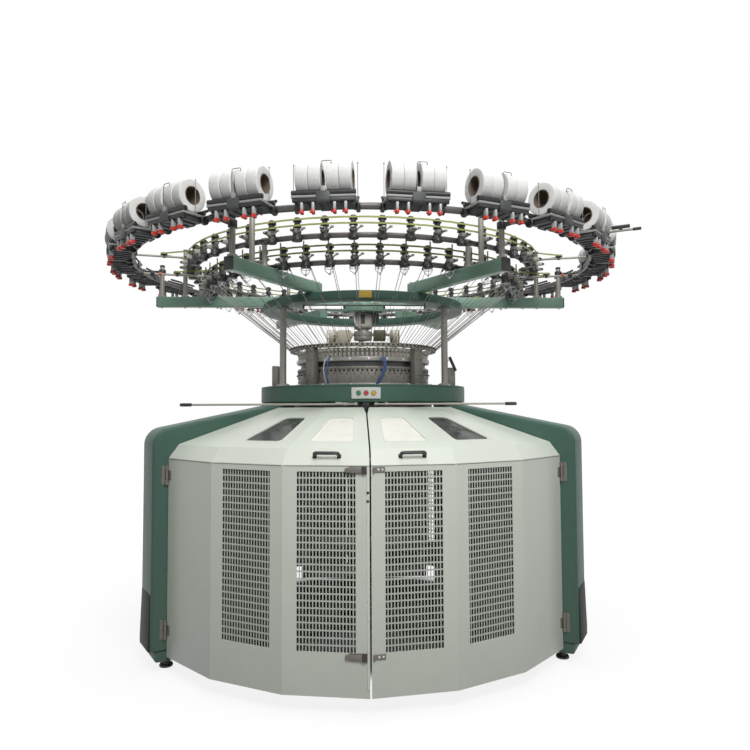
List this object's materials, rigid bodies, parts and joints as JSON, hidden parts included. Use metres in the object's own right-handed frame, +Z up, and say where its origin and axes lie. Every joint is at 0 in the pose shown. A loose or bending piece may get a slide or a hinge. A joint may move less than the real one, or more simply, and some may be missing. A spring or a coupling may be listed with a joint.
{
  "type": "circular knitting machine",
  "caption": "Large-diameter circular knitting machine with a ring-shaped elastane creel, storage feeders, three legs and a door enclosure.",
  "frame": {"origin": "on the machine's vertical axis at floor level, at the underside of the base hub", "axes": "+Z up, -Y towards the front doors, +X to the right seen from the front"},
  "size_m": [3.2989, 3.2989, 2.57],
  "materials": {
    "frame_green": "satin dark green enamel",
    "arm_green": "satin mid green enamel",
    "door_pale": "satin pale grey-green powder coat",
    "mesh_pale": "powder coated perforated sheet",
    "head_grey": "ground and blued steel",
    "plate_silver": "turned",
    "guide_white": "glazed ceramic and steel guides",
    "column_steel": "ground",
    "pipe_steel": "drawn tube",
    "black_plastic": "moulded",
    "feeder_black": "moulded bodies with steel wheels",
    "belt_green": "toothed belt",
    "spool_white": "wound elastane thread",
    "tray_grey": "anodised",
    "tube_clear": "translucent tube",
    "pane": "clear sheet",
    "fan_cream": "moulded",
    "panel_white": "plate",
    "button": "moulded caps",
    "rotor_grey": "enamel",
    "roller_pale": "knurled",
    "foot_steel": "zinc plated"
  },
  "bodies": {
    "root": {"arm_end_caps": "black_plastic", "base_tripod": "frame_green", "bed_plate": "frame_green", "cam_base_ring": "plate_silver", "cam_boxes": "head_grey", "centre_gearbox": "head_grey", "columns": "column_steel", "control_panel": "panel_white", "door_hinges": "foot_steel", "elastane_spools": "spool_white", "feeder_belts": "belt_green", "guide_plate": "head_grey", "guide_posts": "head_grey", "guide_rail": "head_grey", "left_leg": "frame_green", "levelling_feet": "foot_steel", "lower_feeder_ring": "pipe_steel", "lower_feeders": "feeder_black", "push_buttons": "button", "radial_arms": "arm_green", "rear_door_fittings": "foot_steel", "rear_door_handle": "black_plastic", "rear_door_hood": "door_pale", "rear_door_mesh": "mesh_pale", "rear_door_panels": "door_pale", "rear_door_windows": "pane", "rear_leg": "frame_green", "right_leg": "frame_green", "ring_posts": "pipe_steel", "ring_spider": "arm_green", "rod_grips": "black_plastic", "spool_frames": "tray_grey", "spool_ring": "pipe_steel", "spool_rollers": "black_plastic", "stop_rods": "column_steel", "tension_rods": "pipe_steel", "upper_feeder_ring": "pipe_steel", "upper_feeders": "feeder_black", "upper_ring": "frame_green", "yarn_guides": "guide_white", "yarn_tubes": "tube_clear"},
    "left_door": {"left_door_fittings": "foot_steel", "left_door_handle": "black_plastic", "left_door_hood": "door_pale", "left_door_mesh": "mesh_pale", "left_door_panels": "door_pale", "left_door_windows": "pane"},
    "right_door": {"right_door_fittings": "foot_steel", "right_door_handle": "black_plastic", "right_door_hood": "door_pale", "right_door_mesh": "mesh_pale", "right_door_panels": "door_pale", "right_door_windows": "pane"},
    "rotor": {"drive_ring": "rotor_grey", "needle_cylinder": "plate_silver", "take_down_frame": "rotor_grey", "take_down_rollers": "roller_pale"},
    "fans": {"fan_carrier": "head_grey", "fan_guards": "fan_cream"}
  },
  "joints": [
    {"name": "left_door_hinge", "type": "hinge", "parent": "root", "child": "left_door", "pos_m": [-1.11184, -0.78395, 0.65], "axis": [0, 0, -1], "range_deg": [0, 100]},
    {"name": "right_door_hinge", "type": "hinge", "parent": "root", "child": "right_door", "pos_m": [1.11184, -0.78395, 0.65], "axis": [0, 0, 1], "range_deg": [0, 100]},
    {"name": "rotor_turn", "type": "hinge", "parent": "root", "child": "rotor", "pos_m": [0, 0, 1.45], "axis": [0, 0, 1], "continuous": true},
    {"name": "fan_turn", "type": "hinge", "parent": "root", "child": "fans", "pos_m": [0, 0, 1.96], "axis": [0, 0, 1], "continuous": true}
  ]
}
